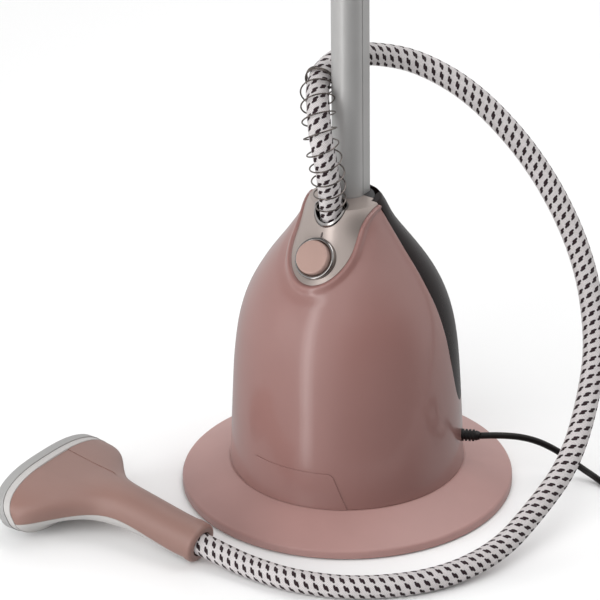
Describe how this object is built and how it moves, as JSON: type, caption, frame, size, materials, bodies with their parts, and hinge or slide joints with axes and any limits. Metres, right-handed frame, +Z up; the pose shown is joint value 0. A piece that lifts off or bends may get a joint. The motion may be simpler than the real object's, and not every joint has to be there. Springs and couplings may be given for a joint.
{
  "type": "garment steamer",
  "caption": "Standing garment steamer: bell body on a round base, water tank, telescopic pole with hanger, braided steam hose and steam head.",
  "frame": {"origin": "centre of the foot ring on the floor", "axes": "+Z up, front with the power button towards -Y, water tank towards +Y"},
  "size_m": [0.6648, 0.4575, 0.91],
  "materials": {
    "black_rubber": "matte",
    "board_green": "matte",
    "body_pink": "gloss",
    "brass": "satin",
    "cast": "satin",
    "chrome": "polished",
    "dark_plastic": "matte",
    "disc_pink": "satin",
    "grey_plastic": "matte",
    "handset_pink": "satin",
    "hose_braid": "woven",
    "pole_metal": "satin",
    "silicone": "matte",
    "silver_trim": "satin",
    "smoke": "gloss",
    "steel": "brushed",
    "white_lens": "gloss"
  },
  "bodies": {
    "base": {"base_disc": "disc_pink", "underside_cover": "dark_plastic", "cover_screws": "steel", "foot_ring": "black_rubber", "body_shell": "body_pink", "trim_plate": "silver_trim", "indicator_lens": "white_lens", "neck_ring": "silver_trim", "hose_outlet_ring": "dark_plastic", "tank_bay": "dark_plastic", "button_bezel": "chrome", "power_switch": "dark_plastic", "button_spring": "steel", "pole_lower": "pole_metal", "pole_socket": "dark_plastic", "clamp_lower": "grey_plastic", "chassis": "dark_plastic", "body_screws": "steel", "boiler": "cast", "boiler_lid": "cast", "heating_element": "steel", "thermostat": "steel", "water_pump": "grey_plastic", "water_inlet": "dark_plastic", "inlet_pipe": "silicone", "feed_pipe": "silicone", "steam_pipe": "silicone", "control_board": "board_green", "drain_valve": "dark_plastic", "hose_connector": "dark_plastic", "cord_gland": "black_rubber", "mains_lead": "black_rubber", "mains_coil": "black_rubber", "mains_tail": "black_rubber", "plug_body": "black_rubber", "plug_pins": "brass", "steam_hose": "hose_braid", "hose_spring_guard": "chrome", "tank_seal": "silicone"},
    "drain_cover": {"drain_cover": "body_pink"},
    "button": {"power_button": "silver_trim"},
    "tank": {"water_tank": "smoke", "tank_cap": "dark_plastic", "tank_valve": "dark_plastic"},
    "pole_mid": {"pole_middle": "pole_metal", "clamp_upper": "grey_plastic"},
    "pole_up": {"pole_upper": "pole_metal", "hanger_head": "grey_plastic", "handset_hook": "grey_plastic"},
    "lever_low": {"clamp_lever_lower": "grey_plastic"},
    "lever_high": {"clamp_lever_upper": "grey_plastic"},
    "arm_left": {"hanger_arm_left": "grey_plastic"},
    "arm_right": {"hanger_arm_right": "grey_plastic"},
    "handset": {"handset_upper_shell": "handset_pink", "handset_lower_shell": "grey_plastic", "handset_collar": "handset_pink", "handset_trim_ring": "silver_trim", "steam_plate": "grey_plastic", "steam_chamber": "grey_plastic", "hose_sleeve": "dark_plastic"}
  },
  "joints": [
    {"name": "power_press", "type": "slide", "parent": "base", "child": "button", "axis": [0, 0.8151, -0.5793], "range_m": [0, 0.0025], "stiffness_N_per_m": 900, "springref_m": -0.001, "deforming": ["button_spring"]},
    {"name": "tank_lift", "type": "slide", "parent": "base", "child": "tank", "axis": [0, 0.766, 0.6428], "range_m": [0, 0.12]},
    {"name": "drain_pull", "type": "slide", "parent": "base", "child": "drain_cover", "axis": [0, -1, 0], "range_m": [0, 0.03]},
    {"name": "pole_mid_slide", "type": "slide", "parent": "base", "child": "pole_mid", "axis": [0, 0, 1], "range_m": [0, 0.38]},
    {"name": "pole_up_slide", "type": "slide", "parent": "pole_mid", "child": "pole_up", "axis": [0, 0, 1], "range_m": [0, 0.36]},
    {"name": "clamp_low_flip", "type": "hinge", "parent": "base", "child": "lever_low", "pos_m": [0, 0.0335, 0.771], "axis": [1, 0, 0], "range_deg": [0, 95]},
    {"name": "clamp_high_flip", "type": "hinge", "parent": "pole_mid", "child": "lever_high", "pos_m": [0, 0.0312, 0.833], "axis": [1, 0, 0], "range_deg": [0, 95]},
    {"name": "arm_left_fold", "type": "hinge", "parent": "pole_up", "child": "arm_left", "pos_m": [-0.028, 0.006, 0.899], "axis": [0, -1, 0], "range_deg": [0, 75]},
    {"name": "arm_right_fold", "type": "hinge", "parent": "pole_up", "child": "arm_right", "pos_m": [0.028, 0.006, 0.899], "axis": [0, 1, 0], "range_deg": [0, 75]},
    {"name": "handset_lift", "type": "slide", "parent": "base", "child": "handset", "axis": [0, 0, 1], "range_m": [0, 0.25], "deforming": ["steam_hose"]}
  ]
}
